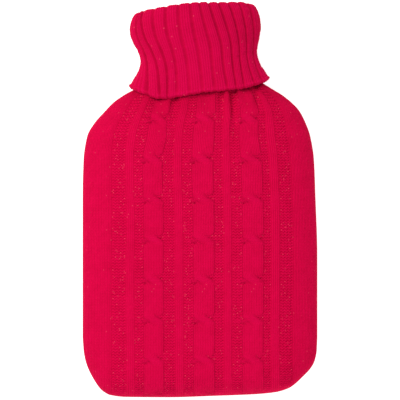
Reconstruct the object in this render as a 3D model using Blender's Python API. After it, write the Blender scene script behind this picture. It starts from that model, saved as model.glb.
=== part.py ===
"""Knitted cover for a hot water bottle, lying on its back in the round shape it has when worn.

A cabled front panel and a plain back panel meet edge to edge along the sides and the foot. A
ribbed collar is joined on at the neck, stands up from it, rolls outwards at the mouth and hangs
down outside over the shoulders. The inside is hollow and open at the mouth.

Frame: X across the cover, Y from its foot up to its mouth, Z up from the surface that the back
lies on. Sizes and tables are in millimetres.
"""
import bmesh
import bpy
import numpy as np

MM = 0.001

# Driving sizes
PANEL_CLOTH = 2.8  # thickness of the two body panels
COLLAR_CLOTH = 3.0  # thickness of the ribbed collar
GAP = 0.3  # between one piece of cloth and the next
COLLAR_REST = 0.6  # between the turned-down collar and the shoulders that it lies on
SEAM_Z = 20.5  # height of the side seams
NECK_Y = 114.0  # where the panels end and the collar starts
FOOT_ROUND = 32.0  # how far from the foot the panels reach their full height
BACK_FLAT = 0.6  # share of the back's width that lies flat
COLLAR_FLAT = 0.45  # share of the collar's width that lies flat
STEEPEST = 2.5  # most that a steep shoulder multiplies the upright distance to the collar by
RIB_CREST = 0.6  # how far a rib stands out from the middle of the collar's cloth
RIB_GROOVE = 1.3  # how far the groove between two ribs sinks in

# Mesh density
PANEL_COLUMNS = 26
STEPS_PER_RIB = 3
BACK_RIBS = 13

# Exponents of the rounded section across a panel and across the collar
SIDE_POWER = 2.4
CROWN_POWER = 2.0

# Which side of the rest surface a face belongs to
FRONT, BACK = 1, -1


def table(names, *rows):
    """Columns by name, from one row for each section, line or fold."""
    return dict(zip(names.split(), np.array(rows, float).T))


# Side seams, front crown and underside, from the foot to the neck
BODY = table(
    "y left right front back",
    (-180, -105.0, 105.0, 43.0, 0.0),
    (-100, -105.0, 105.0, 43.6, 0.0),
    (-50, -105.0, 105.0, 44.0, 0.0),
    (4, -105.0, 103.3, 44.0, 0.0),
    (36, -104.2, 102.0, 43.4, 0.0),
    (57, -101.0, 98.7, 42.6, 0.0),
    (68, -95.0, 94.9, 41.8, 0.5),
    (80, -84.5, 88.7, 40.6, 2.0),
    (87.6, -77.0, 81.5, 39.7, 4.2),
    (94.8, -66.5, 72.2, 38.7, 6.2),
    (98.3, -60.2, 66.0, 38.2, 6.8),
    (105.5, -51.5, 55.0, 37.2, 7.4),
    (110, -48.2, 49.6, 36.7, 7.6),
    (NECK_Y, -46.0, 45.0, 36.5, 7.6),
)

# The rounded foot, seen from the front
FOOT = table(
    "x y",
    (-105, -123),
    (-104, -136),
    (-101.5, -147),
    (-97, -157),
    (-89.5, -168.5),
    (-85, -172.3),
    (-80, -174.6),
    (-66, -176.2),
    (-28, -176.5),
    (14, -175.2),
    (34, -174.5),
    (52, -173.6),
    (67, -172.0),
    (79, -168.5),
    (93, -157),
    (101.2, -147),
    (104.4, -136),
    (105, -123),
)

# Soft folds in the front that run down from under the collar
FOLDS = table(
    "x start end depth half_width",
    (32.5, 88, 50, 2.6, 6.0),
    (51.0, 92, 72, 1.8, 5.0),
    (-23.5, 92, 68, 1.6, 5.0),
    (-57.0, 90, 74, 1.2, 5.0),
)

# Rows of the panels' mesh: close together on the rounded foot and under the collar
FOOT_STEPS = (0, 0.6, 2.2, 5, 9, 14, 20, 27, 36)
ROW_Y = (-122, -100, -75, -45, -15, 12, 34, 50, 62, 72, 81, 89, 96, 102, 108, NECK_Y)
FOOT_BLEND_Y = -100.0  # above this row the foot no longer bends the rows

# The collar's cloth from the neck seam (inside) over the roll to the hem (outside), along the
# middle of its thickness. rise is the share of the way from its lower end to the mouth.
COLLAR = table(
    "outside rise left right front back rib",
    (0, 0.00, -44.5, 43.5, 35.0, 9.1, 0.0),
    (0, 0.35, -46.0, 43.0, 36.2, 8.2, 0.3),
    (0, 0.65, -50.5, 43.3, 37.0, 7.4, 0.3),
    (0, 0.84, -53.0, 43.8, 37.6, 7.0, 0.4),
    (0, 0.95, -54.6, 45.0, 38.8, 6.0, 0.5),
    (1, 1.00, -57.2, 47.8, 41.4, 4.0, 0.8),
    (1, 0.95, -59.8, 51.0, 43.7, 2.2, 1.0),
    (1, 0.85, -61.0, 52.3, 44.5, 1.5, 1.0),
    (1, 0.68, -59.0, 51.8, 43.7, 1.5, 1.0),
    (1, 0.52, -54.0, 50.0, 42.0, 1.7, 1.0),
    (1, 0.38, -51.2, 49.0, 41.0, 1.8, 1.0),
    (1, 0.22, -53.4, 52.2, 40.8, 1.6, 1.0),
    (1, 0.09, -58.6, 57.4, 41.0, 1.5, 1.0),
    (1, 0.00, -62.3, 60.6, 41.4, 1.5, 0.8),
)

# The hem and the mouth of the collar
HEM = table(
    "x y",
    (-64, 101.0),
    (-58, 98.0),
    (-46, 93.5),
    (-38, 90.8),
    (-27, 91.2),
    (-16, 92.8),
    (5, 96.2),
    (20, 97.6),
    (34, 99.2),
    (46, 101.8),
    (56, 105.0),
    (62, 107.6),
)
MOUTH = table(
    "x y",
    (-60, 163.6),
    (-55, 166.8),
    (-48, 169.0),
    (-30, 172.3),
    (-17, 174.4),
    (0, 176.1),
    (34, 176.1),
    (46, 173.8),
    (50, 170.2),
    (52, 167.4),
)

# Where the grooves between the collar's front ribs lie, a row for each groove
GROOVES = table(
    "hem waist top",
    (-46.6, -46.6, -56.0),
    (-34.9, -38.4, -53.0),
    (-28.8, -30.1, -42.8),
    (-20.6, -21.7, -31.3),
    (-9.1, -11.8, -19.7),
    (2.6, -0.6, -8.4),
    (13.1, 10.4, -0.1),
    (24.7, 20.1, 8.6),
    (32.1, 28.3, 17.8),
    (39.0, 34.8, 26.9),
    (48.2, 40.7, 36.4),
    (54.2, 45.8, 44.0),
)
WAIST_RISE = 0.38
BULGE_RISE = 0.85


def ease(at, xs, ys):
    """A smooth curve through the points that never passes above or below its neighbours."""
    step = np.diff(xs)
    slope = np.diff(ys) / step
    product = slope[1:] * slope[:-1]
    total = np.where(product > 0, slope[1:] + slope[:-1], 1)
    inner = np.where(product > 0, 2 * product / total, 0)
    tangent = np.concatenate([slope[:1], inner, slope[-1:]])
    at = np.asarray(at, float)
    i = np.clip(np.searchsorted(xs, at) - 1, 0, len(step) - 1)
    u = np.clip((at - xs[i]) / step[i], 0, 1)
    start = (1 + 2 * u) * (1 - u) ** 2 * ys[i] + u * (1 - u) ** 2 * step[i] * tangent[i]
    end = u**2 * (3 - 2 * u) * ys[i + 1] - u**2 * (1 - u) * step[i] * tangent[i + 1]
    return start + end


def dome(across, flat):
    """Height share over a rounded section: 1 on its flat middle, 0 at its edges (-1 and 1)."""
    out = np.clip((np.abs(across) - flat) / (1 - flat), 0, 1)
    return (1 - out**SIDE_POWER) ** (1 / CROWN_POWER)


def fold_depth(x, y):
    """How far the soft folds under the collar sink into the front."""
    depth = np.zeros_like(x)
    for middle, start, end, deep, half_width in zip(*FOLDS.values()):
        fade = np.clip((y - end) / (start - end), 0, 1)
        depth += deep * fade**1.5 * np.exp(-(((x - middle) / half_width) ** 2))
    return depth


def body_z(x, y, side):
    """Height of the body's outer surface at a point, on its front or its back."""
    left = ease(y, BODY["y"], BODY["left"])
    right = ease(y, BODY["y"], BODY["right"])
    crown = ease(y, BODY["y"], BODY["front" if side == FRONT else "back"])
    across = (2 * x - left - right) / (right - left)
    from_foot = np.clip((y - ease(x, FOOT["x"], FOOT["y"])) / FOOT_ROUND, 0, 1)
    share = dome(across, 0 if side == FRONT else BACK_FLAT) * dome(1 - from_foot, 0)
    if side == FRONT:
        crown = crown - fold_depth(x, y)
    rim = SEAM_Z + side * GAP / 2
    return rim + (crown - rim) * share


def steepness(x, y, side):
    """Length of the upright distance through a layer 1 thick that lies on the body."""
    step = 0.5
    here = body_z(x, y, side)
    across = (body_z(x + step, y, side) - here) / step
    along = (body_z(x, y + step, side) - here) / step
    return np.sqrt(1 + across**2 + along**2)


def spread_columns(half_width, height, flat, count):
    """Places across a section, -1 to 1, even along its curve but closer at the two edges."""
    angle = np.linspace(np.pi, 0, 721)
    corner = np.abs(np.cos(angle)) ** (2 / SIDE_POWER)
    across = np.sign(np.cos(angle)) * (flat + (1 - flat) * corner)
    x = half_width * across
    z = height * np.sin(angle) ** (2 / CROWN_POWER)
    length = np.concatenate([[0], np.cumsum(np.hypot(np.diff(x), np.diff(z)))])
    even = np.linspace(0, 1, count + 1)
    close_ends = 0.45 * even + 0.55 * (0.5 - 0.5 * np.cos(np.pi * even))
    return np.interp(close_ends * length[-1], length, across)


def normals(grid, wraps):
    """Unit vectors square to the surface through a grid of points."""
    along = np.gradient(grid, axis=0)
    across = np.gradient(grid, axis=1)
    if wraps:
        across = np.roll(grid, -1, axis=1) - np.roll(grid, 1, axis=1)
    square = np.cross(across, along)
    return square / np.maximum(np.linalg.norm(square, axis=2, keepdims=True), 1e-9)


def level(vectors, axis):
    """The same unit vectors, turned square to one axis."""
    turned = vectors.copy()
    turned[..., axis] = 0
    return turned / np.linalg.norm(turned, axis=-1, keepdims=True)


def face_along_seam(grid, out):
    """Turns the normals on a panel's seam square to it, in the plane of the seams."""
    rows, columns = grid.shape[:2]
    down = [(i, 0) for i in range(rows - 1, 0, -1)]
    up = [(i, columns - 1) for i in range(1, rows)]
    seam = tuple(np.array(down + [(0, j) for j in range(columns)] + up).T)
    along = np.gradient(grid[seam], axis=0)
    square = np.stack([along[:, 1], -along[:, 0], np.zeros(len(along))], axis=1)
    out[seam] = square / np.linalg.norm(square, axis=1, keepdims=True)


def body_panel(side):
    """Outer and inner face of the front or back panel, as grids of points."""
    half_width = (BODY["right"][1] - BODY["left"][1]) / 2
    flat = 0 if side == FRONT else BACK_FLAT
    across = spread_columns(half_width, SEAM_Z, flat, PANEL_COLUMNS)
    foot_y = ease(across * half_width, FOOT["x"], FOOT["y"])
    lowest = foot_y.min()
    rows = []
    for row_y in [lowest + step for step in FOOT_STEPS] + list(ROW_Y):
        left_to_go = np.clip((FOOT_BLEND_Y - row_y) / (FOOT_BLEND_Y - lowest), 0, 1)
        y = row_y + left_to_go * (foot_y - lowest)
        left = ease(y, BODY["y"], BODY["left"])
        right = ease(y, BODY["y"], BODY["right"])
        x = (left + right) / 2 + across * (right - left) / 2
        rows.append(np.stack([x, y, body_z(x, y, side)], axis=1))
    outer = np.array(rows)
    outer[0, :, 2] = SEAM_Z + side * GAP / 2
    outer[:, (0, -1), 2] = SEAM_Z + side * GAP / 2
    out = normals(outer, wraps=False) * side
    face_along_seam(outer, out)
    out[-1] = level(out[-1], 1)
    return outer, outer - PANEL_CLOTH * out


def ring(left, right, front, back, grooves):
    """Points round one section of the collar: over the front by its grooves, then the back."""
    angle = np.linspace(np.pi, 0, 361)
    corner = np.abs(np.cos(angle)) ** (2 / SIDE_POWER)
    side = np.sign(np.cos(angle))
    rise = np.sin(angle) ** (2 / CROWN_POWER)
    middle, half_width = (left + right) / 2, (right - left) / 2
    rim = (front + back) / 2

    front_x = middle + half_width * side * corner
    front_z = rim + (front - rim) * rise
    length = np.concatenate([[0], np.cumsum(np.hypot(np.diff(front_x), np.diff(front_z)))])
    marks_x = left + (right - left) * np.concatenate([[0], grooves, [1]])
    marks = np.interp(marks_x, front_x, length)
    ribs = len(marks) - 1
    places = np.interp(np.arange(ribs * STEPS_PER_RIB) / STEPS_PER_RIB, range(ribs + 1), marks)
    over_front = [np.interp(places, length, front_x), np.interp(places, length, front_z)]

    back_x = middle + half_width * side * (COLLAR_FLAT + (1 - COLLAR_FLAT) * corner)
    back_z = rim + (back - rim) * rise
    length = np.concatenate([[0], np.cumsum(np.hypot(np.diff(back_x), np.diff(back_z)))])
    count = BACK_RIBS * STEPS_PER_RIB
    places = length[-1] * (1 - np.arange(count) / count)
    over_back = [np.interp(places, length, back_x), np.interp(places, length, back_z)]
    return np.hstack([over_front, over_back])


def groove_shares(rise):
    """The front grooves' places at one height, as shares of the way from left to right."""
    stops = np.array([0, WAIST_RISE, 1])
    shares = []
    for name, wanted in zip(("hem", "waist", "top"), (0, WAIST_RISE, BULGE_RISE)):
        row = np.argmax((COLLAR["outside"] == 1) & (COLLAR["rise"] == wanted))
        left, right = COLLAR["left"][row], COLLAR["right"][row]
        shares.append((GROOVES[name] - left) / (right - left))
    return np.array([ease(rise, stops, np.array(groove)) for groove in zip(*shares)])


def collar():
    """Outer and inner face of the ribbed collar, as grids of points that close round the neck."""
    sections = list(zip(*COLLAR.values()))
    widest = {name: COLLAR[name][-1] for name in ("left", "right")}
    rows = []
    for outside, rise, left, right, front, back, _rib in sections:
        x, z = ring(left, right, front, back, groove_shares(rise if outside else 1))
        share = (x - left) / (right - left)
        hem_x = widest["left"] + share * (widest["right"] - widest["left"])
        low = ease(hem_x, HEM["x"], HEM["y"]) if outside else NECK_Y + GAP
        high = ease(x, MOUTH["x"], MOUTH["y"]) - COLLAR_CLOTH / 2
        rows.append(np.stack([x, low + rise * (high - low), z], axis=1))
    middle = np.array(rows)

    groove = np.arange(middle.shape[1]) % STEPS_PER_RIB == 0
    relief = np.where(groove, -RIB_GROOVE, RIB_CREST)
    middle -= normals(middle, wraps=True) * relief[:, None] * COLLAR["rib"][:, None, None]
    rest_on_shoulders(middle)

    out = normals(middle, wraps=True)
    out[0] = level(out[0], 1)
    faces = [middle + side * COLLAR_CLOTH / 2 * out for side in (1, -1)]
    for face in faces:
        face[0, :, 1] = NECK_Y + GAP
        face[..., 2] = np.maximum(face[..., 2], 0)
    return faces


def rest_on_shoulders(middle):
    """Lifts the turned-down part of the collar clear of the body that it lies on."""
    clear = COLLAR_CLOTH / 2 + COLLAR_REST
    outside = COLLAR["outside"] == 1
    points = middle[outside]
    x, y = points[..., 0], points[..., 1]
    left = ease(y, BODY["y"], BODY["left"])
    right = ease(y, BODY["y"], BODY["right"])
    over_body = (x > left) & (x < right) & (y < NECK_Y)
    for side in (FRONT, BACK):
        upright = clear * np.minimum(steepness(x, y, side), STEEPEST)
        lifted = side * np.maximum(side * points[..., 2], side * body_z(x, y, side) + upright)
        faces_out = side * (points[..., 2] - SEAM_Z) > 0
        points[..., 2] = np.where(over_body & faces_out, lifted, points[..., 2])
    middle[outside] = points


def material(name, color, roughness):
    made = bpy.data.materials.new(name)
    made.use_nodes = True
    shader = made.node_tree.nodes["Principled BSDF"]
    shader.inputs["Base Color"].default_value = (*color, 1)
    shader.inputs["Roughness"].default_value = roughness
    shader.inputs["Metallic"].default_value = 0
    return made


def cloth_object(name, faces, wraps, finish):
    """One closed body between two faces of cloth."""
    rows, columns = faces[0].shape[:2]
    mesh = bmesh.new()
    points = [[[mesh.verts.new(p * MM) for p in row] for row in face] for face in faces]
    last = columns if wraps else columns - 1
    for i in range(rows - 1):
        for j in range(last):
            k = (j + 1) % columns
            for side in points:
                mesh.faces.new([side[i][j], side[i][k], side[i + 1][k], side[i + 1][j]])
    outer, inner = points
    for i in (0, rows - 1):
        for j in range(last):
            k = (j + 1) % columns
            mesh.faces.new([outer[i][j], outer[i][k], inner[i][k], inner[i][j]])
    for j in () if wraps else (0, columns - 1):
        for i in range(rows - 1):
            mesh.faces.new([outer[i][j], outer[i + 1][j], inner[i + 1][j], inner[i][j]])
    bmesh.ops.recalc_face_normals(mesh, faces=mesh.faces)
    data = bpy.data.meshes.new(name)
    mesh.to_mesh(data)
    mesh.free()
    data.shade_smooth()
    data.materials.append(finish)
    made = bpy.data.objects.new(name, data)
    bpy.context.collection.objects.link(made)
    return made


def build():
    for old in list(bpy.data.objects):
        bpy.data.objects.remove(old, do_unlink=True)
    red = material("red_cable_knit", (0.63, 0.003, 0.045), 0.85)
    plain = material("red_plain_knit", (0.60, 0.003, 0.042), 0.85)
    rib = material("red_rib_knit", (0.60, 0.003, 0.045), 0.85)
    cloth_object("front_panel", body_panel(FRONT), False, red)
    cloth_object("back_panel", body_panel(BACK), False, plain)
    cloth_object("roll_collar", collar(), True, rib)


build()
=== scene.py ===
"""Looks of the knitted hot water bottle cover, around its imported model.

Each piece of cloth is a sheet knitted stitch by stitch: a grid of points with a few to each
stitch, laid over the form of its solid and raised or sunk by the stitch that it belongs to.
Sizes and tables are in millimetres, and meshes are made in metres.
"""
import math

import bmesh
import bpy
import numpy as np
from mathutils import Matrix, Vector


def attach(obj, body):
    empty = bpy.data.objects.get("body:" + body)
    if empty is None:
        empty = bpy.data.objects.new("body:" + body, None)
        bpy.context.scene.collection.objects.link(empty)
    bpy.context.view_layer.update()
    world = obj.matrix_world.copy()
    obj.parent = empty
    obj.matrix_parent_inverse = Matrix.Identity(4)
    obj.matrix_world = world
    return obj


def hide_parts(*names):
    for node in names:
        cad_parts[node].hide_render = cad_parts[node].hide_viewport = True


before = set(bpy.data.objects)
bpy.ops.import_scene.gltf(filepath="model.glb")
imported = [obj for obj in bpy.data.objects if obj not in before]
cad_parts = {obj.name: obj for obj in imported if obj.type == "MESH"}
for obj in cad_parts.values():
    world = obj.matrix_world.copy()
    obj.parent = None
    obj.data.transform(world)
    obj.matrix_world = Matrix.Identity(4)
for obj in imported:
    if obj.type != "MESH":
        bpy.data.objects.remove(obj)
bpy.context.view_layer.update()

MM = 0.001

FRONT, BACK = 1, -1

# The form of the solids, as the model has it
PANEL_CLOTH = 2.8
COLLAR_CLOTH = 3.0
GAP = 0.3
COLLAR_REST = 0.6
STEEPEST = 2.5
SEAM_Z = 20.5
NECK_Y = 114.0
HALF_WIDTH = 105.0
FOOT_ROUND = 32.0
BACK_FLAT = 0.6
COLLAR_FLAT = 0.45
BACK_RIBS = 13
SIDE_POWER = 2.4
CROWN_POWER = 2.0
FOOT_BLEND_Y = -100.0
WAIST_RISE = 0.38
BULGE_RISE = 0.85

# The knitting
WALE = 3.13  # width of a stitch
COURSE = 2.55  # height of a row
PURL_LEVEL = -0.45  # how deep the purl grooves between the columns lie
PLAIN_LEVEL = 0.05  # height of the plain sides
PAIR_LEVEL = 0.15  # height of the columns two stitches wide
CABLE_LEVEL = 0.2  # height of a cable between its crossings


def table(names, *rows):
    """Columns by name, from one row for each section, line or fold."""
    return dict(zip(names.split(), np.array(rows, float).T))


BODY = table(
    "y left right front back",
    (-180, -105.0, 105.0, 43.0, 0.0),
    (-100, -105.0, 105.0, 43.6, 0.0),
    (-50, -105.0, 105.0, 44.0, 0.0),
    (4, -105.0, 103.3, 44.0, 0.0),
    (36, -104.2, 102.0, 43.4, 0.0),
    (57, -101.0, 98.7, 42.6, 0.0),
    (68, -95.0, 94.9, 41.8, 0.5),
    (80, -84.5, 88.7, 40.6, 2.0),
    (87.6, -77.0, 81.5, 39.7, 4.2),
    (94.8, -66.5, 72.2, 38.7, 6.2),
    (98.3, -60.2, 66.0, 38.2, 6.8),
    (105.5, -51.5, 55.0, 37.2, 7.4),
    (110, -48.2, 49.6, 36.7, 7.6),
    (NECK_Y, -46.0, 45.0, 36.5, 7.6),
)
FOOT = table(
    "x y",
    (-105, -123),
    (-104, -136),
    (-101.5, -147),
    (-97, -157),
    (-89.5, -168.5),
    (-85, -172.3),
    (-80, -174.6),
    (-66, -176.2),
    (-28, -176.5),
    (14, -175.2),
    (34, -174.5),
    (52, -173.6),
    (67, -172.0),
    (79, -168.5),
    (93, -157),
    (101.2, -147),
    (104.4, -136),
    (105, -123),
)
COLLAR = table(
    "outside rise left right front back rib",
    (0, 0.00, -44.5, 43.5, 35.0, 9.1, 0.0),
    (0, 0.35, -46.0, 43.0, 36.2, 8.2, 0.3),
    (0, 0.65, -50.5, 43.3, 37.0, 7.4, 0.3),
    (0, 0.84, -53.0, 43.8, 37.6, 7.0, 0.4),
    (0, 0.95, -54.6, 45.0, 38.8, 6.0, 0.5),
    (1, 1.00, -57.2, 47.8, 41.4, 4.0, 0.8),
    (1, 0.95, -59.8, 51.0, 43.7, 2.2, 1.0),
    (1, 0.85, -61.0, 52.3, 44.5, 1.5, 1.0),
    (1, 0.68, -59.0, 51.8, 43.7, 1.5, 1.0),
    (1, 0.52, -54.0, 50.0, 42.0, 1.7, 1.0),
    (1, 0.38, -51.2, 49.0, 41.0, 1.8, 1.0),
    (1, 0.22, -53.4, 52.2, 40.8, 1.6, 1.0),
    (1, 0.09, -58.6, 57.4, 41.0, 1.5, 1.0),
    (1, 0.00, -62.3, 60.6, 41.4, 1.5, 0.8),
)
HEM = table(
    "x y",
    (-64, 101.0),
    (-58, 98.0),
    (-46, 93.5),
    (-38, 90.8),
    (-27, 91.2),
    (-16, 92.8),
    (5, 96.2),
    (20, 97.6),
    (34, 99.2),
    (46, 101.8),
    (56, 105.0),
    (62, 107.6),
)
MOUTH = table(
    "x y",
    (-60, 163.6),
    (-55, 166.8),
    (-48, 169.0),
    (-30, 172.3),
    (-17, 174.4),
    (0, 176.1),
    (34, 176.1),
    (46, 173.8),
    (50, 170.2),
    (52, 167.4),
)
GROOVES = table(
    "hem waist top",
    (-46.6, -46.6, -56.0),
    (-34.9, -38.4, -53.0),
    (-28.8, -30.1, -42.8),
    (-20.6, -21.7, -31.3),
    (-9.1, -11.8, -19.7),
    (2.6, -0.6, -8.4),
    (13.1, 10.4, -0.1),
    (24.7, 20.1, 8.6),
    (32.1, 28.3, 17.8),
    (39.0, 34.8, 26.9),
    (48.2, 40.7, 36.4),
    (54.2, 45.8, 44.0),
)

# How deep each of the collar's front grooves is at the same heights: the ribs over the middle
# are stretched flat, and those to its right are drawn together
DEPTHS = table(
    "hem waist top",
    (0.9, 0.8, 0.4),
    (0.9, 0.9, 0.5),
    (0.9, 0.8, 0.4),
    (0.3, 0.5, 0.6),
    (0.1, 0.3, 0.4),
    (0.1, 0.35, 0.45),
    (0.15, 0.4, 0.55),
    (0.5, 0.6, 0.65),
    (0.7, 0.7, 0.6),
    (0.7, 0.65, 0.6),
    (0.5, 0.5, 0.6),
    (0.5, 0.5, 0.5),
)

# Soft folds in the front that run down from under the collar. The model has the main ones as
# plain troughs, and these are narrower and deeper, and lean.
FOLDS = table(
    "x lean start end depth half_width",
    (29.0, 0.06, 98, 50, 4.4, 2.8),
    (18.5, 0.04, 97, 64, 2.0, 2.6),
    (49.5, 0.10, 101, 70, 3.6, 3.2),
    (-22.6, -0.06, 92, 60, 3.0, 3.4),
    (-37.0, -0.10, 92, 62, 3.2, 6.5),
    (-57.0, -0.25, 96, 70, 1.8, 3.6),
    (41.0, 0.0, 104, 88, 4.5, 9.0),
    (6.0, 0.0, 96, 74, 1.2, 5.0),
)

# Where the knitting under the collar is pulled sideways
PULLS = table(
    "x y shift half_width half_height",
    (-41.0, 57, 4.8, 14, 13),
    (4.0, 57, 2.0, 14, 14),
    (48.0, 57, -2.0, 14, 14),
)

# The front's columns from its left seam to its right one. edge is where a column starts, across
# the middle of the body, and steps is how many points of the grid a stitch has across.
PLAIN, PURL, KNIT, CABLE = 0, 1, 2, 3
COLUMNS = table(
    "kind wales edge steps",
    (PLAIN, 10, -105.0, 3),
    (PURL, 4, -79.0, 3),
    (KNIT, 2, -65.6, 4),
    (PURL, 3, -58.4, 3),
    (CABLE, 6, -49.8, 4),
    (PURL, 4, -32.6, 3),
    (KNIT, 2, -21.8, 4),
    (PURL, 3, -14.8, 3),
    (CABLE, 6, -5.5, 4),
    (PURL, 3, 12.7, 3),
    (KNIT, 2, 21.9, 4),
    (PURL, 3, 28.4, 3),
    (CABLE, 6, 38.4, 4),
    (PURL, 3, 56.5, 3),
    (KNIT, 2, 63.9, 4),
    (PURL, 4, 71.2, 3),
    (PLAIN, 9, 83.6, 3),
)
ROWS_PER_COURSE = 3  # rows of the grid to a row of stitches

# Where the cables cross, how many rows lie between two crossings and how many stitches a
# strand has
CROSSING_Y = 0.7
CROSSING_ROWS = 14
STRAND = 3


def ease(at, xs, ys):
    """A smooth curve through the points that never passes above or below its neighbours."""
    step = np.diff(xs)
    slope = np.diff(ys) / step
    product = slope[1:] * slope[:-1]
    total = np.where(product > 0, slope[1:] + slope[:-1], 1)
    inner = np.where(product > 0, 2 * product / total, 0)
    tangent = np.concatenate([slope[:1], inner, slope[-1:]])
    at = np.asarray(at, float)
    i = np.clip(np.searchsorted(xs, at) - 1, 0, len(step) - 1)
    u = np.clip((at - xs[i]) / step[i], 0, 1)
    start = (1 + 2 * u) * (1 - u) ** 2 * ys[i] + u * (1 - u) ** 2 * step[i] * tangent[i]
    end = u**2 * (3 - 2 * u) * ys[i + 1] - u**2 * (1 - u) * step[i] * tangent[i + 1]
    return start + end


def smoothstep(low, high, value):
    """0 below low, 1 above high and a soft rise between them."""
    share = np.clip((value - low) / (high - low), 0, 1)
    return share * share * (3 - 2 * share)


def wander(a, b, seed, waves=6):
    """A smooth, irregular field between about -1 and 1 over two coordinates."""
    draw = np.random.RandomState(seed)
    total = 0
    for _ in range(waves):
        turn, phase = draw.uniform(0, 2 * math.pi, 2)
        rate = draw.uniform(0.6, 1.6)
        total = total + np.sin(rate * (a * math.cos(turn) + b * math.sin(turn)) + phase)
    return total / math.sqrt(waves)


def each_stitch(wale, course, seed):
    """A number between -1 and 1 that is the same all over one stitch."""
    wales, courses = 509, 487
    draw = np.random.RandomState(seed).uniform(-1, 1, (wales, courses))
    return draw[np.floor(wale).astype(int) % wales, np.floor(course).astype(int) % courses]


def dome(across, flat):
    """Height share over a rounded section: 1 on its flat middle, 0 at its edges (-1 and 1)."""
    out = np.clip((np.abs(across) - flat) / (1 - flat), 0, 1)
    return (1 - out**SIDE_POWER) ** (1 / CROWN_POWER)


def fold_depth(x, y):
    """How far the soft folds under the collar sink into the front."""
    depth = np.zeros_like(x)
    for middle, lean, start, end, deep, half_width in zip(*FOLDS.values()):
        fade = np.clip((y - end) / (start - end), 0, 1)
        away = (x - middle - lean * (start - y)) / half_width
        beside = np.exp(-((np.abs(away) - 1.6) ** 2))
        depth += deep * fade**1.3 * (np.exp(-(away**2)) - 0.25 * beside)
    return depth


def body_z(x, y, side, folds=True):
    """Height of the body's outer surface at a point, on its front or its back."""
    left = ease(y, BODY["y"], BODY["left"])
    right = ease(y, BODY["y"], BODY["right"])
    crown = ease(y, BODY["y"], BODY["front" if side == FRONT else "back"])
    across = (2 * x - left - right) / (right - left)
    from_foot = np.clip((y - ease(x, FOOT["x"], FOOT["y"])) / FOOT_ROUND, 0, 1)
    share = dome(across, 0 if side == FRONT else BACK_FLAT) * dome(1 - from_foot, 0)
    if side == FRONT and folds:
        crown = crown - fold_depth(x, y)
    rim = SEAM_Z + side * GAP / 2
    return rim + (crown - rim) * share


def steepness(x, y, side):
    """Length of the upright distance through a layer 1 thick that lies on the body."""
    step = 0.5
    here = body_z(x, y, side, folds=False)
    across = (body_z(x + step, y, side, folds=False) - here) / step
    along = (body_z(x, y + step, side, folds=False) - here) / step
    return np.sqrt(1 + across**2 + along**2)


def arc_length(x, z):
    """Length along a line of points, up to each of them."""
    return np.concatenate([[0], np.cumsum(np.hypot(np.diff(x), np.diff(z)))])


def normals(grid, wraps):
    """Unit vectors square to the surface through a grid of points."""
    along = np.gradient(grid, axis=0)
    across = np.gradient(grid, axis=1)
    if wraps:
        across = np.roll(grid, -1, axis=1) - np.roll(grid, 1, axis=1)
    square = np.cross(across, along)
    return square / np.maximum(np.linalg.norm(square, axis=2, keepdims=True), 1e-9)


def level(vectors, axis):
    """The same unit vectors, turned square to one axis."""
    turned = vectors.copy()
    turned[..., axis] = 0
    return turned / np.linalg.norm(turned, axis=-1, keepdims=True)


def face_along_seam(grid, out):
    """Turns the normals on a panel's seam square to it, in the plane of the seams."""
    rows, columns = grid.shape[:2]
    down = [(i, 0) for i in range(rows - 1, 0, -1)]
    up = [(i, columns - 1) for i in range(1, rows)]
    seam = tuple(np.array(down + [(0, j) for j in range(columns)] + up).T)
    along = np.gradient(grid[seam], axis=0)
    square = np.stack([along[:, 1], -along[:, 0], np.zeros(len(along))], axis=1)
    out[seam] = square / np.linalg.norm(square, axis=1, keepdims=True)


# ---------------------------------------------------------------- stitches


def knit_stitch(wale, course):
    """Height of plain stitches: two legs that meet in a V, 0 to 1."""
    across = wale - np.floor(wale)
    legs = 0.5 - 0.5 * np.cos(4 * np.pi * across)
    outward = np.abs(across - 0.5) * 2
    link = 0.5 + 0.5 * np.cos(2 * np.pi * (course - 0.8 * outward))
    return legs**0.8 * (0.4 + 0.6 * link)


def purl_stitch(wale, course):
    """Height of purl stitches: bumps that hang between their neighbours, 0 to 1."""
    swing = 0.25 * np.cos(2 * np.pi * wale)
    bump = 0.5 + 0.5 * np.cos(2 * np.pi * (course + swing))
    return bump * (0.75 + 0.25 * np.cos(4 * np.pi * wale))


def raised(away, half_width, top, power):
    """A rounded ridge that stands on the purl ground."""
    share = np.clip(1 - np.abs(away / half_width) ** power, 0, 1) ** 0.8
    return PURL_LEVEL + (top - PURL_LEVEL) * share


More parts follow.
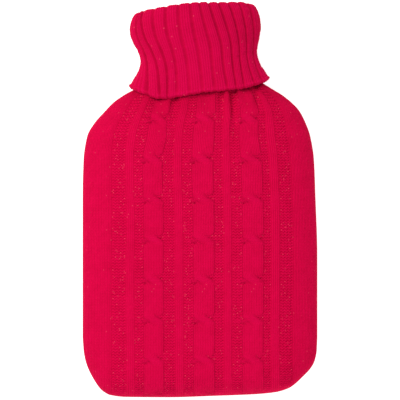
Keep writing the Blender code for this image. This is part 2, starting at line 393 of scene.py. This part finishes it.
def cable(across, course):
    """Height of a cable and the wale that shows, by the stitches from its middle.

    At each crossing the strand on the right passes over to the left, going up. The wales are
    counted on from strand to strand, so that they run through unbroken between the crossings.
    """
    rows = course / CROSSING_ROWS
    along = (rows - np.round(rows)) * CROSSING_ROWS

    # The strand that passes in front stands high at the crossing
    swing = STRAND / 2 * np.tanh(along / 1.2)
    near = np.exp(-((along / 1.9) ** 2))
    front = raised(across + swing, 1.8 + 0.7 * near, PLAIN_LEVEL + 0.95 * near, 2)

    # Both strands lie side by side, and the one behind comes out a few rows from the crossing
    apart = np.clip(np.abs(along) / 3.4, 0, 1)
    emerged = np.sqrt(1 - (1 - apart) ** 2)
    behind = across * np.sign(along) > 0
    half_width = np.where(behind, 0.3 + 3.2 * emerged, 2.1 + 1.4 * apart)
    top = PURL_LEVEL + (CABLE_LEVEL - PURL_LEVEL) * smoothstep(0, 0.8, apart)
    both = raised(across, half_width, top, 3)

    # A stitch beside the crossing is pulled tight
    pulled = np.exp(-(((along + 0.6) / 0.5) ** 2)) * smoothstep(-6, -4, across) * (across < 0)
    height = np.maximum(np.maximum(front, both), PURL_LEVEL + 0.8 * pulled)
    in_front = (front >= both) | ~behind
    wale = np.where(in_front, across + swing, across - swing + STRAND * np.sign(along))
    return height, wale + STRAND / 2 + STRAND * np.round(rows)


# ---------------------------------------------------------------- panels

SEAM_MARGIN = 8  # width of the band along the seams where the knitting draws in
HEM_SHADE = 1.5  # painted shade on the cloth beside the hem: how much lower its relief reads to its material
HEM_SHADE_REACH = 11  # how far down the body that goes on


def panel_columns(side):
    """Where each column of the grid lies: its wale, its place across and its kind of knitting."""
    flat = 0 if side == FRONT else BACK_FLAT
    angle = np.linspace(np.pi, 0, 2001)
    corner = np.abs(np.cos(angle)) ** (2 / SIDE_POWER)
    across = np.sign(np.cos(angle)) * (flat + (1 - flat) * corner)
    length = arc_length(HALF_WIDTH * across, SEAM_Z * np.sin(angle) ** (2 / CROWN_POWER))
    wales = np.concatenate([[0], np.cumsum(COLUMNS["wales"])])
    if side == FRONT:
        edges = np.append(np.interp(COLUMNS["edge"] / HALF_WIDTH, across, length), length[-1])
    else:
        edges = length[-1] * wales / wales[-1]
    places = [
        start + np.arange(int(count * steps)) / steps
        for start, count, steps in zip(wales, COLUMNS["wales"], COLUMNS["steps"])
    ]
    places = np.append(np.concatenate(places), wales[-1])
    return places, np.interp(np.interp(places, wales, edges), length, across)


def panel_grid(side):
    """Points of a panel's outer surface, with the wale and the course of each."""
    wale, across = panel_columns(side)
    foot_y = ease(across * HALF_WIDTH, FOOT["x"], FOOT["y"])
    lowest = foot_y.min()

    # A row nearer to the foot than FOOT_ROUND lies on the round of the foot, and is longer there
    from_foot = np.linspace(0, FOOT_ROUND, 400)
    rise = dome(1 - from_foot / FOOT_ROUND, 0) * (SEAM_Z + 2)
    length = arc_length(from_foot, rise)
    longer = length[-1] - length - (FOOT_ROUND - from_foot)
    first_course = (lowest - longer[0] - CROSSING_Y) / COURSE
    courses = np.arange(0, (NECK_Y - CROSSING_Y) / COURSE - first_course, 1 / ROWS_PER_COURSE)
    courses[1:] += 0.5 / ROWS_PER_COURSE
    along = CROSSING_Y + COURSE * (first_course + courses)
    row_y = np.interp(along, lowest + from_foot - longer, lowest + from_foot)
    row_y = np.where(along > lowest + FOOT_ROUND, along, row_y)
    row_y = np.append(row_y, NECK_Y)[:, None]

    left_to_go = np.clip((FOOT_BLEND_Y - row_y) / (FOOT_BLEND_Y - lowest), 0, 1)
    y = row_y + left_to_go * (foot_y - lowest)
    left = ease(y, BODY["y"], BODY["left"])
    right = ease(y, BODY["y"], BODY["right"])
    half = (right - left) / 2
    # Towards the neck the outer stitches are drawn together more than the middle ones
    drawn_in = np.minimum(HALF_WIDTH / half - 1, 0.55)
    place = across * (1 + 0.45 * (1 - across**2) * drawn_in)
    x = (left + right) / 2 + place * half
    if side == FRONT:
        for at_x, at_y, shift, wide, high in zip(*PULLS.values()):
            x = x + shift * np.exp(-(((x - at_x) / wide) ** 2) - ((y - at_y) / high) ** 2)
    grid = np.stack([x, y, body_z(x, y, side)], axis=2)
    grid[0, :, 2] = SEAM_Z + side * GAP / 2
    grid[:, (0, -1), 2] = SEAM_Z + side * GAP / 2

    near_foot = np.clip(y - foot_y, 0, FOOT_ROUND)
    course = (y - np.interp(near_foot, from_foot, longer) - CROSSING_Y) / COURSE
    return grid, np.broadcast_to(wale, course.shape), course, y - foot_y


def panel_relief(wale, course):
    """Height of the front's knitting, the wale that shows in it, and how much of it is purl."""
    height = np.full(wale.shape, PURL_LEVEL)
    shown = wale.copy()
    purl = np.ones(wale.shape)
    starts = np.concatenate([[0], np.cumsum(COLUMNS["wales"])])
    for kind, start, end in zip(COLUMNS["kind"], starts, starts[1:]):
        middle = (start + end) / 2
        away = wale - middle
        if kind == KNIT:
            ridge = raised(away, 1.3, PAIR_LEVEL, 3)
            here = np.abs(away) < 1.15
        elif kind == CABLE:
            ridge, cable_wale = cable(away, course)
            here = (np.abs(away) < 3.4) & (ridge > PURL_LEVEL + 0.2)
            shown = np.where(here, cable_wale, shown)
        elif kind == PLAIN:
            inner = end if start == 0 else start
            rise = smoothstep(-0.5, 1.6, np.abs(wale - inner))
            here = (wale >= start) & (wale <= end)
            ridge = np.where(here, PURL_LEVEL + (PLAIN_LEVEL - PURL_LEVEL) * rise, PURL_LEVEL)
        else:
            continue
        height = np.maximum(height, ridge)
        purl = np.where(here, 0, purl)
    return height, shown, purl


def stitched(height, wale, course, purl, seed, leg=0.32):
    """Adds the single stitches to a relief, each a little different from the next."""
    plain = leg * (knit_stitch(wale, course) - 0.4)
    bumps = 1.3 * (purl_stitch(wale, course) - 0.5)
    uneven = 0.16 * each_stitch(wale, course, seed)
    return height + np.where(purl > 0.5, bumps, plain) + uneven


def panel(side):
    """A panel's knitted face, its plain inner face, and what its material reads: the relief, less a
    painted shade beside the hem.
    """
    grid, wale, course, from_foot = panel_grid(side)
    out = normals(grid, wraps=False) * side
    face_along_seam(grid, out)
    out[-1] = level(out[-1], 1)
    inner = grid - PANEL_CLOTH * out

    seed = 11 if side == FRONT else 12
    if side == FRONT:
        height, shown, purl = panel_relief(wale, course)
    else:
        height, shown, purl = np.zeros(wale.shape), wale.copy(), np.zeros(wale.shape)
    relief = stitched(height, shown, course, purl, seed)

    # The knitting draws in along the seams, and lies flat under the collar
    from_seam = np.minimum(np.minimum(wale, wale.max() - wale) * WALE, from_foot)
    full = smoothstep(0, SEAM_MARGIN, from_seam)
    relief = relief * full - 0.1 * (1 - full)
    hem_y = ease(grid[..., 0], HEM["x"], HEM["y"])
    under = smoothstep(-3, 2, grid[..., 1] - hem_y)
    relief = relief * (1 - 0.75 * under) - 0.45 * under
    if side == BACK:
        relief = np.minimum(relief, 0.15)

    # The columns wander a little, as a hand pulls them
    sway = 0.45 * wander(grid[..., 0] / 28, grid[..., 1] / 22, seed + 2) * full
    face = grid + relief[..., None] * out
    face[..., 0] += sway
    face[..., 2] = np.maximum(face[..., 2], 0)
    stitch = np.stack([shown, course, purl], axis=2)

    # Painted shade: the hem keeps the light off the cloth beside it, so the relief that the material
    # reads is lowered there
    shade = HEM_SHADE * np.exp(-np.maximum(hem_y - grid[..., 1], 0) / HEM_SHADE_REACH)
    return face, inner, stitch, relief - shade


# ---------------------------------------------------------------- collar

STEPS_PER_RIB = 12
RIB_HEIGHT = 0.9
GROOVE_DEPTH = 1.9
BACK_GROOVES = 0.9  # how deep the grooves that the table doesn't list are
GROOVE_SHARE = 0.12  # of a rib's width, on each side of its two wales
HEM_TUCK = 0.9  # how far the cut edge turns in
HEM_ROUND = 1.4  # radius of the edge
INNER_REST = 0.6  # least height of the collar's hidden face over the floor


def ring(left, right, front, back, grooves):
    """Points round one section of the collar: over the front by its grooves, then the back."""
    angle = np.linspace(np.pi, 0, 1441)
    corner = np.abs(np.cos(angle)) ** (2 / SIDE_POWER)
    side = np.sign(np.cos(angle))
    rise = np.sin(angle) ** (2 / CROWN_POWER)
    middle, half_width = (left + right) / 2, (right - left) / 2
    rim = (front + back) / 2

    front_x = middle + half_width * side * corner
    front_z = rim + (front - rim) * rise
    length = arc_length(front_x, front_z)
    marks_x = left + (right - left) * np.concatenate([[0], grooves, [1]])
    marks = np.interp(marks_x, front_x, length)
    ribs = len(marks) - 1
    places = np.interp(np.arange(ribs * STEPS_PER_RIB) / STEPS_PER_RIB, range(ribs + 1), marks)
    over_front = [np.interp(places, length, front_x), np.interp(places, length, front_z)]

    back_x = middle + half_width * side * (COLLAR_FLAT + (1 - COLLAR_FLAT) * corner)
    back_z = rim + (back - rim) * rise
    length = arc_length(back_x, back_z)
    count = BACK_RIBS * STEPS_PER_RIB
    places = length[-1] * (1 - np.arange(count) / count)
    over_back = [np.interp(places, length, back_x), np.interp(places, length, back_z)]
    return np.hstack([over_front, over_back])


def groove_shares(rise):
    """The front grooves' places at one height, as shares of the way from left to right."""
    stops = np.array([0, WAIST_RISE, 1])
    shares = []
    for name, wanted in zip(("hem", "waist", "top"), (0, WAIST_RISE, BULGE_RISE)):
        row = np.argmax((COLLAR["outside"] == 1) & (COLLAR["rise"] == wanted))
        left, right = COLLAR["left"][row], COLLAR["right"][row]
        shares.append((GROOVES[name] - left) / (right - left))
    return np.array([ease(rise, stops, np.array(groove)) for groove in zip(*shares)])


def collar_sections():
    """The middle of the collar's cloth at each row of its table."""
    widest = {name: COLLAR[name][-1] for name in ("left", "right")}
    rows = []
    for outside, rise, left, right, front, back, _rib in zip(*COLLAR.values()):
        x, z = ring(left, right, front, back, groove_shares(rise if outside else 1))
        share = (x - left) / (right - left)
        hem_x = widest["left"] + share * (widest["right"] - widest["left"])
        low = ease(hem_x, HEM["x"], HEM["y"]) if outside else NECK_Y + GAP
        high = ease(x, MOUTH["x"], MOUTH["y"]) - COLLAR_CLOTH / 2
        rows.append(np.stack([x, low + rise * (high - low), z], axis=1))
    return np.array(rows)


def through(points, stops, at):
    """Smooth curves through rows of points, read at other places along them."""
    slope = np.gradient(points, stops, axis=0)
    i = np.clip(np.searchsorted(stops, at, side="right") - 1, 0, len(stops) - 2)
    step = (stops[i + 1] - stops[i])[:, None, None]
    u = (at[:, None, None] - stops[i][:, None, None]) / step
    start = (1 + 2 * u) * (1 - u) ** 2 * points[i] + u * (1 - u) ** 2 * step * slope[i]
    return start + u**2 * (3 - 2 * u) * points[i + 1] - u**2 * (1 - u) * step * slope[i + 1]


def rest_on_shoulders(points, clear, outside):
    """Lifts the turned-down part of the collar clear of the body that it lies on."""
    x, y, z = points[..., 0], points[..., 1], points[..., 2]
    left = ease(y, BODY["y"], BODY["left"])
    right = ease(y, BODY["y"], BODY["right"])
    over_body = (x > left) & (x < right) & (y < NECK_Y) & outside
    for side in (FRONT, BACK):
        upright = clear * np.minimum(steepness(x, y, side), STEEPEST)
        lifted = side * np.maximum(side * z, side * body_z(x, y, side, folds=False) + upright)
        z = np.where(over_body & (side * (z - SEAM_Z) > 0), lifted, z)
    points[..., 2] = z


def collar():
    """The collar's ribbed face, its plain other face and what its material reads: the relief, which it
    turns into painted shade.
    """
    sections = collar_sections()
    steps = np.linalg.norm(np.diff(sections, axis=0), axis=2).mean(axis=1)
    stops = np.concatenate([[0], np.cumsum(steps)])
    rows = int(round(stops[-1] / COURSE)) * ROWS_PER_COURSE
    at = np.linspace(0, stops[-1], rows + 1)
    middle = through(sections, stops, at)
    turn = stops[np.argmax(COLLAR["outside"])]
    outside = (at > turn)[:, None]
    rest_on_shoulders(middle, COLLAR_CLOTH / 2 + COLLAR_REST, outside)
    out = -normals(middle, wraps=True)
    out[0] = level(out[0], 1)

    # Ribs: a narrow purl groove, then a crest two plain stitches wide
    ribs = middle.shape[1] // STEPS_PER_RIB
    rib, step = np.divmod(np.arange(middle.shape[1]), STEPS_PER_RIB)
    share = step / STEPS_PER_RIB
    rise = np.interp(at, stops, np.where(COLLAR["outside"] == 1, COLLAR["rise"], 1))
    deep = np.full((len(at), ribs), BACK_GROOVES)
    stops_up = np.array([0, WAIST_RISE, 1])
    for place, row in enumerate(zip(*DEPTHS.values())):
        deep[:, place + 1] = ease(rise, stops_up, np.array(row))
    between = deep[:, rib] * (1 - share) + deep[:, (rib + 1) % ribs] * share
    strength = np.interp(at, stops, COLLAR["rib"])[:, None]
    crest = np.sin(np.pi * share) ** 0.5
    course = np.broadcast_to(at[:, None] / COURSE, middle.shape[:2])
    across = np.clip((share - GROOVE_SHARE) / (1 - 2 * GROOVE_SHARE), 0, 1)
    wale = np.broadcast_to(rib * 2 + across * 2, course.shape)
    purl = np.zeros(course.shape)
    relief = strength * (RIB_HEIGHT - GROOVE_DEPTH * between * (1 - crest))
    relief = relief + 0.25 * wander(at[:, None] / 14, np.arange(middle.shape[1])[None] / 20, 8)
    relief = stitched(relief, wale, course, purl, 21, leg=0.5)

    # The hem rolls into a soft edge, scalloped by its stitches
    from_hem = (at[-1] - at)[:, None]
    roll = np.exp(-(((from_hem - 1.9) / 1.5) ** 2))
    relief = relief + (0.8 + 0.35 * np.cos(2 * np.pi * wale)) * roll
    edge = np.clip(from_hem / HEM_ROUND, 0, 1)
    close = np.sqrt(1 - (1 - edge) ** 2)
    half = COLLAR_CLOTH / 2
    face = middle + (-HEM_TUCK + (half + HEM_TUCK + relief) * close)[..., None] * out
    back = middle - half * out
    scallop = 0.3 * np.cos(2 * np.pi * wale) + 0.3 * wander(wale, wale / 3, 9) - 0.6
    scallop = scallop * np.exp(-from_hem / 2.5)
    face[..., 1] += scallop
    back[..., 1] += scallop
    face[0, :, 1] = NECK_Y + GAP
    back[0, :, 1] = NECK_Y + GAP
    face[..., 2] = np.maximum(face[..., 2], 0)
    back[..., 2] = np.maximum(back[..., 2], INNER_REST)
    stitch = np.stack([wale, course, purl], axis=2)
    return face, back, stitch, relief


# ---------------------------------------------------------------- meshes


INNER_STEP = 6  # the hidden face has every sixth point of the knitted one


def picked(count):
    """The points of a row that the hidden face has, with the last one."""
    return np.unique(np.append(np.arange(0, count, INNER_STEP), count - 1))


def cloth_piece(name, face, back, stitch, relief, wraps=False):
    """One closed sheet: its knitted face, a coarser other face and the edges between them."""
    rows, columns = face.shape[:2]
    some_rows = picked(rows)
    some_columns = np.arange(0, columns, INNER_STEP) if wraps else picked(columns)
    inner = back[np.ix_(some_rows, some_columns)]

    def front_at(i, j):
        return i * columns + j % columns

    def back_at(i, j):
        return rows * columns + i * len(some_columns) + j % len(some_columns)

    def quads(at, high, wide):
        i, j = np.meshgrid(np.arange(high), np.arange(wide), indexing="ij")
        return [at(i, j), at(i, j + 1), at(i + 1, j + 1), at(i + 1, j)]

    wide = len(some_columns) if wraps else len(some_columns) - 1
    knitted = quads(front_at, rows - 1, columns if wraps else columns - 1)
    hidden = quads(back_at, len(some_rows) - 1, wide)
    faces = np.stack(knitted, axis=2).reshape(-1, 4).tolist()
    faces += np.stack(hidden[:1] + hidden[:0:-1], axis=2).reshape(-1, 4).tolist()

    # The edges: each long step of the hidden face meets the short steps of the knitted one
    for i, inner_i in ((0, 0), (rows - 1, len(some_rows) - 1)):
        for k in range(wide):
            end = some_columns[k + 1] if k + 1 < len(some_columns) else columns
            run = [front_at(i, j) for j in range(some_columns[k], end + 1)]
            faces.append([back_at(inner_i, k), back_at(inner_i, k + 1)] + run[::-1])
    sides = () if wraps else ((0, 0), (columns - 1, len(some_columns) - 1))
    for j, inner_j in sides:
        for k in range(len(some_rows) - 1):
            run = [front_at(i, j) for i in range(some_rows[k], some_rows[k + 1] + 1)]
            faces.append([back_at(k, inner_j), back_at(k + 1, inner_j)] + run[::-1])

    points = np.concatenate([face.reshape(-1, 3), inner.reshape(-1, 3)]) * MM
    data = bpy.data.meshes.new(name)
    data.from_pydata(points.tolist(), [], faces)
    fix = bmesh.new()
    fix.from_mesh(data)
    bmesh.ops.recalc_face_normals(fix, faces=fix.faces)
    fix.to_mesh(data)
    fix.free()
    data.shade_smooth()

    inner_stitch = stitch[np.ix_(some_rows, some_columns)].copy()
    inner_stitch[..., 2] = 1
    values = np.concatenate([stitch.reshape(-1, 3), inner_stitch.reshape(-1, 3)])
    data.attributes.new("stitch", "FLOAT_VECTOR", "POINT").data.foreach_set("vector", values.ravel())
    # The relief, with the painted hem shade on the front, from which the material paints its shade
    relief_and_shade = np.concatenate([relief.ravel(), np.zeros(inner.shape[0] * inner.shape[1])])
    data.attributes.new("relief", "FLOAT", "POINT").data.foreach_set("value", relief_and_shade)
    made = bpy.data.objects.new(name, data)
    bpy.context.collection.objects.link(made)
    return made


# ---------------------------------------------------------------- materials

# Each yarn's colour, then the deep and light ends of its tone; the painted shade and the uneven yarn
# lie between them
RED = ((0.58, 0.0007, 0.044), (0.35, 0.0004, 0.022), (0.70, 0.0015, 0.072))
# The collar's yarn is the same red made darker, as painted shade over its ribs
SHADED_RIB_RED = ((0.50, 0.0006, 0.040), (0.28, 0.0003, 0.019), (0.61, 0.0012, 0.066))
# Light dots: partly a lighter yarn, partly painted glints
FLECK_AND_GLINT = (0.88, 0.085, 0.14)
SHEEN = (1, 0.02, 0.10)

# How much of a yarn's tone, from deep (0) to light (1), comes from what it passes over: painted shade
# between the loops and in the purl, and uneven patches and fibres
LOOP_TONE = 0.36
PURL_TONE = -0.02
PATCH_TONE = 0.3
FIBRE_TONE = 0.6
DARKER = 0.14

# Flecks, partly a lighter yarn and partly painted glints: cells across a wale and along a course, and
# the share of cells that have none
CELLS_ACROSS, CELLS_ALONG = 3, 2
BARE_PLAIN, BARE_PURL = 0.997, 0.963


def node(tree, kind, **settings):
    """A new shader node with its settings."""
    made = tree.nodes.new(kind)
    for name, value in settings.items():
        setattr(made, name, value)
    return made


def calc(tree, operation, *values):
    """One sum of sockets and numbers."""
    made = node(tree, "ShaderNodeMath", operation=operation)
    for socket, value in zip(made.inputs, values):
        if isinstance(value, (int, float)):
            socket.default_value = value
        else:
            tree.links.new(value, socket)
    return made.outputs[0]


def mapped(tree, value, low, high, to_low, to_high):
    """A value moved from one range to another, and kept inside it."""
    made = node(tree, "ShaderNodeMapRange")
    tree.links.new(value, made.inputs["Value"])
    for name, number in zip(("From Min", "From Max", "To Min", "To Max"), (low, high, to_low, to_high)):
        made.inputs[name].default_value = number
    return made.outputs["Result"]


def noise(tree, place, scale, detail):
    """A soft cloudy pattern over the object, around 0."""
    made = node(tree, "ShaderNodeTexNoise")
    tree.links.new(place, made.inputs["Vector"])
    made.inputs["Scale"].default_value = scale
    made.inputs["Detail"].default_value = detail
    return calc(tree, "SUBTRACT", made.outputs["Fac"], 0.5)


def beat(tree, wave, value):
    """One soft hump, from 0 to 1, for every whole step of a value."""
    return calc(tree, "ABSOLUTE", calc(tree, wave, calc(tree, "MULTIPLY", value, math.pi)))


def knit_height(tree, wale, course):
    """The two legs of a plain stitch, from 0 to 1."""
    across = calc(tree, "FRACT", wale)
    twice = calc(tree, "COSINE", calc(tree, "MULTIPLY", across, 4 * math.pi))
    legs = calc(tree, "MULTIPLY_ADD", twice, -0.5, 0.5)
    outward = calc(tree, "ABSOLUTE", calc(tree, "MULTIPLY_ADD", across, 2, -1))
    link = beat(tree, "COSINE", calc(tree, "MULTIPLY_ADD", outward, -0.8, course))
    return calc(tree, "MULTIPLY", legs, calc(tree, "MULTIPLY_ADD", link, 0.6, 0.4))


def purl_height(tree, wale, course):
    """The hanging bumps of a purl stitch, from 0 to 1."""
    swing = calc(tree, "COSINE", calc(tree, "MULTIPLY", wale, 2 * math.pi))
    return beat(tree, "COSINE", calc(tree, "MULTIPLY_ADD", swing, 0.25, course))


def flecks_and_glints(tree, wale, course, purl):
    """How much of the light dots shows: partly a lighter yarn and partly painted glints, small dots
    mostly on the bumps of the purl stitches.
    """
    across = calc(tree, "MULTIPLY", wale, CELLS_ACROSS)
    along = calc(tree, "MULTIPLY", course, CELLS_ALONG)
    cell = node(tree, "ShaderNodeCombineXYZ")
    tree.links.new(calc(tree, "FLOOR", across), cell.inputs[0])
    tree.links.new(calc(tree, "FLOOR", along), cell.inputs[1])
    chance = node(tree, "ShaderNodeTexWhiteNoise", noise_dimensions="2D")
    tree.links.new(cell.outputs[0], chance.inputs["Vector"])
    bare = calc(tree, "MULTIPLY_ADD", purl, BARE_PURL - BARE_PLAIN, BARE_PLAIN)
    fleck = calc(tree, "GREATER_THAN", chance.outputs["Value"], bare)
    dot = calc(tree, "MULTIPLY", beat(tree, "SINE", across), beat(tree, "SINE", along))
    return calc(tree, "MULTIPLY", fleck, mapped(tree, dot, 0.3, 0.8, 0, 0.5))


def yarn(name, base, deep, light):
    """Soft matt yarn: its stitches, its fibres and the painted shade that gathers between them."""
    made = bpy.data.materials.new(name)
    made.use_nodes = True
    tree = made.node_tree
    shader = tree.nodes["Principled BSDF"]
    stitch = node(tree, "ShaderNodeAttribute", attribute_name="stitch")
    relief = node(tree, "ShaderNodeAttribute", attribute_name="relief").outputs["Fac"]
    parts = node(tree, "ShaderNodeSeparateXYZ")
    tree.links.new(stitch.outputs["Vector"], parts.inputs[0])
    wale, course, purl = parts.outputs
    place = node(tree, "ShaderNodeTexCoord").outputs["Object"]

    plain = knit_height(tree, wale, course)
    bumps = purl_height(tree, wale, course)
    loops = node(tree, "ShaderNodeMix")
    tree.links.new(purl, loops.inputs["Factor"])
    tree.links.new(plain, loops.inputs["A"])
    tree.links.new(bumps, loops.inputs["B"])
    loop = loops.outputs["Result"]
    fibres = noise(tree, place, 1500, 3)

    # Painted shade: darker in the grooves and between the loops; and a tone a little uneven over the
    # cloth
    high = mapped(tree, relief, -2.0, 2.0, 0.2, 0.8)
    tone = calc(tree, "MULTIPLY_ADD", loop, LOOP_TONE, calc(tree, "SUBTRACT", high, DARKER))
    tone = calc(tree, "MULTIPLY_ADD", purl, PURL_TONE, tone)
    tone = calc(tree, "MULTIPLY_ADD", noise(tree, place, 90, 4), PATCH_TONE, tone)
    tone = calc(tree, "MULTIPLY_ADD", fibres, FIBRE_TONE, tone)
    ramp = node(tree, "ShaderNodeValToRGB")
    tree.links.new(tone, ramp.inputs[0])
    ramp.color_ramp.elements[0].position = 0.05
    ramp.color_ramp.elements[0].color = (*deep, 1)
    ramp.color_ramp.elements[1].position = 0.95
    ramp.color_ramp.elements[1].color = (*light, 1)
    ramp.color_ramp.elements.new(0.5).color = (*base, 1)

    # Light dots over the colour: partly a lighter yarn, partly painted glints
    mixed = node(tree, "ShaderNodeMix", data_type="RGBA")
    tree.links.new(flecks_and_glints(tree, wale, course, purl), mixed.inputs["Factor"])
    tree.links.new(ramp.outputs["Color"], mixed.inputs["A"])
    mixed.inputs["B"].default_value = (*FLECK_AND_GLINT, 1)
    tree.links.new(mixed.outputs["Result"], shader.inputs["Base Color"])

    height = calc(tree, "MULTIPLY_ADD", fibres, 0.35, loop)
    bump = node(tree, "ShaderNodeBump")
    bump.inputs["Distance"].default_value = 0.0005
    bump.inputs["Strength"].default_value = 0.6
    tree.links.new(height, bump.inputs["Height"])
    tree.links.new(bump.outputs["Normal"], shader.inputs["Normal"])
    rough = mapped(tree, fibres, -0.2, 0.2, 0.78, 0.95)
    tree.links.new(rough, shader.inputs["Roughness"])
    shader.inputs["Sheen Weight"].default_value = 0.2
    shader.inputs["Sheen Roughness"].default_value = 0.5
    shader.inputs["Sheen Tint"].default_value = (*SHEEN, 1)
    shader.inputs["Specular IOR Level"].default_value = 0.03
    return made


# ---------------------------------------------------------------- stage

# The floor glows like a light table, and lies just under the cover
FLOOR_BELOW = 0.0004
FLOOR_GREY = 0.6
FLOOR_GLOW = 0.85
SKY = 0.54

# Each lamp's place and size in metres, and its power in watts
LAMPS = (
    ("key", (-0.8, 0.85, 1.2), 0.8, 20.8),
    ("fill", (0.3, -1.2, 1.0), 1.0, 10),
)
CAMERA_AWAY, VIEW_WIDTH = 5.0, 0.3576


def stage():
    """A plain pale floor, a soft sky and two soft lamps."""
    mesh = bmesh.new()
    bmesh.ops.create_grid(mesh, x_segments=1, y_segments=1, size=3)
    data = bpy.data.meshes.new("floor")
    mesh.to_mesh(data)
    mesh.free()
    floor = bpy.data.objects.new("floor", data)
    floor.location.z = -FLOOR_BELOW
    bpy.context.collection.objects.link(floor)
    pale = bpy.data.materials.new("pale_floor")
    pale.use_nodes = True
    shader = pale.node_tree.nodes["Principled BSDF"]
    shader.inputs["Base Color"].default_value = (FLOOR_GREY, FLOOR_GREY, FLOOR_GREY, 1)
    shader.inputs["Roughness"].default_value = 0.9
    shader.inputs["Emission Color"].default_value = (1, 1, 1, 1)
    shader.inputs["Emission Strength"].default_value = FLOOR_GLOW
    data.materials.append(pale)

    world = bpy.data.worlds.new("soft_sky")
    world.use_nodes = True
    sky = world.node_tree.nodes["Background"]
    sky.inputs["Color"].default_value = (1, 1, 1, 1)
    sky.inputs["Strength"].default_value = SKY
    bpy.context.scene.world = world
    for row in LAMPS:
        lamp(*row)


def lamp(name, place, size, power):
    """A square soft lamp that looks at the middle of the cover."""
    data = bpy.data.lights.new(name, "AREA")
    data.size = size
    data.energy = power
    made = bpy.data.objects.new(name, data)
    made.location = place
    toward = Vector((0, 0, SEAM_Z * MM)) - Vector(place)
    made.rotation_euler = toward.to_track_quat("-Z", "Y").to_euler()
    bpy.context.collection.objects.link(made)


def camera():
    """Looks straight down on the cover's front, with its mouth at the top."""
    data = bpy.data.cameras.new("camera")
    data.sensor_width = 36
    data.lens = data.sensor_width * CAMERA_AWAY / VIEW_WIDTH
    made = bpy.data.objects.new("camera", data)
    made.location = (0, 0, SEAM_Z * MM + CAMERA_AWAY)
    bpy.context.collection.objects.link(made)
    bpy.context.scene.camera = made


def dress(piece, finish, node_name):
    """Gives a piece its yarn, its body and the node whose place it takes."""
    piece.data.materials.append(finish)
    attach(piece, "root")
    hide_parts(node_name)


def build():
    """The three knitted pieces, and what each is as cloth."""
    red = yarn("red_yarn", *RED)
    # The collar's yarn is the red made darker: painted shade
    rib = yarn("shaded_rib_yarn", *SHADED_RIB_RED)

    front = cloth_piece("front_knit", *panel(FRONT))
    dress(front, red, "front_panel")
    back = cloth_piece("back_knit", *panel(BACK))
    dress(back, red, "back_panel")
    rolled = cloth_piece("collar_knit", *collar(), wraps=True)
    dress(rolled, rib, "roll_collar")


build()
stage()
camera()
bpy.context.scene.view_settings.view_transform = "Standard"
